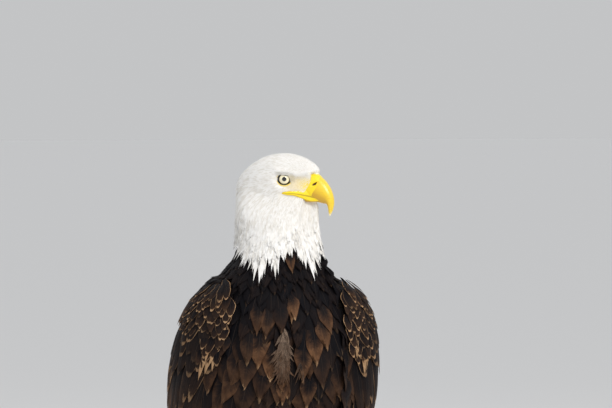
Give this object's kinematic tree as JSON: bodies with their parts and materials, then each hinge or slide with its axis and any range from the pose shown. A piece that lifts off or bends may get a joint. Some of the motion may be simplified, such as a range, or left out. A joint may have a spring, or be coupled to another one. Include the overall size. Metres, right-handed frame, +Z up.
{
  "type": "bald eagle figure",
  "caption": "Standing bald eagle, life size, wings folded and head turned to its left; white head, neck and tail, dark brown body, yellow bill and feet.",
  "frame": {"origin": "on the floor under the middle of the bird's box", "axes": "+Z up from the floor; the trunk faces -Y; the bird's left side is +X"},
  "size_m": [0.274, 0.3834, 0.724],
  "materials": {
    "white_feathers": "soft matt white feathers",
    "brown_feathers": "matt blackish-brown feathers with warmer edges",
    "dark_feathers": "stiff dark flight feathers with a faint sheen",
    "cere_skin": "smooth waxy yellow skin",
    "bill_horn": "smooth warm yellow horn",
    "eyeball": "wet, pale cream iris with a black pupil",
    "foot_skin": "scaly yellow skin",
    "claw_horn": "polished black horn"
  },
  "bodies": {
    "root": {"head": "white_feathers", "neck": "white_feathers", "tail": "white_feathers", "trunk": "brown_feathers", "cere": "cere_skin", "bill_upper": "bill_horn", "bill_lower": "bill_horn", "eye_left": "eyeball", "eye_right": "eyeball", "wing_left_coverts": "brown_feathers", "wing_left_secondaries": "brown_feathers", "wing_left_primaries": "dark_feathers", "thigh_left": "brown_feathers", "tarsus_left": "foot_skin", "toe_left_1": "foot_skin", "toe_left_2": "foot_skin", "toe_left_3": "foot_skin", "toe_left_4": "foot_skin", "claw_left_1": "claw_horn", "claw_left_2": "claw_horn", "claw_left_3": "claw_horn", "claw_left_4": "claw_horn", "wing_right_coverts": "brown_feathers", "wing_right_secondaries": "brown_feathers", "wing_right_primaries": "dark_feathers", "thigh_right": "brown_feathers", "tarsus_right": "foot_skin", "toe_right_1": "foot_skin", "toe_right_2": "foot_skin", "toe_right_3": "foot_skin", "toe_right_4": "foot_skin", "claw_right_1": "claw_horn", "claw_right_2": "claw_horn", "claw_right_3": "claw_horn", "claw_right_4": "claw_horn"}
  },
  "joints": []
}
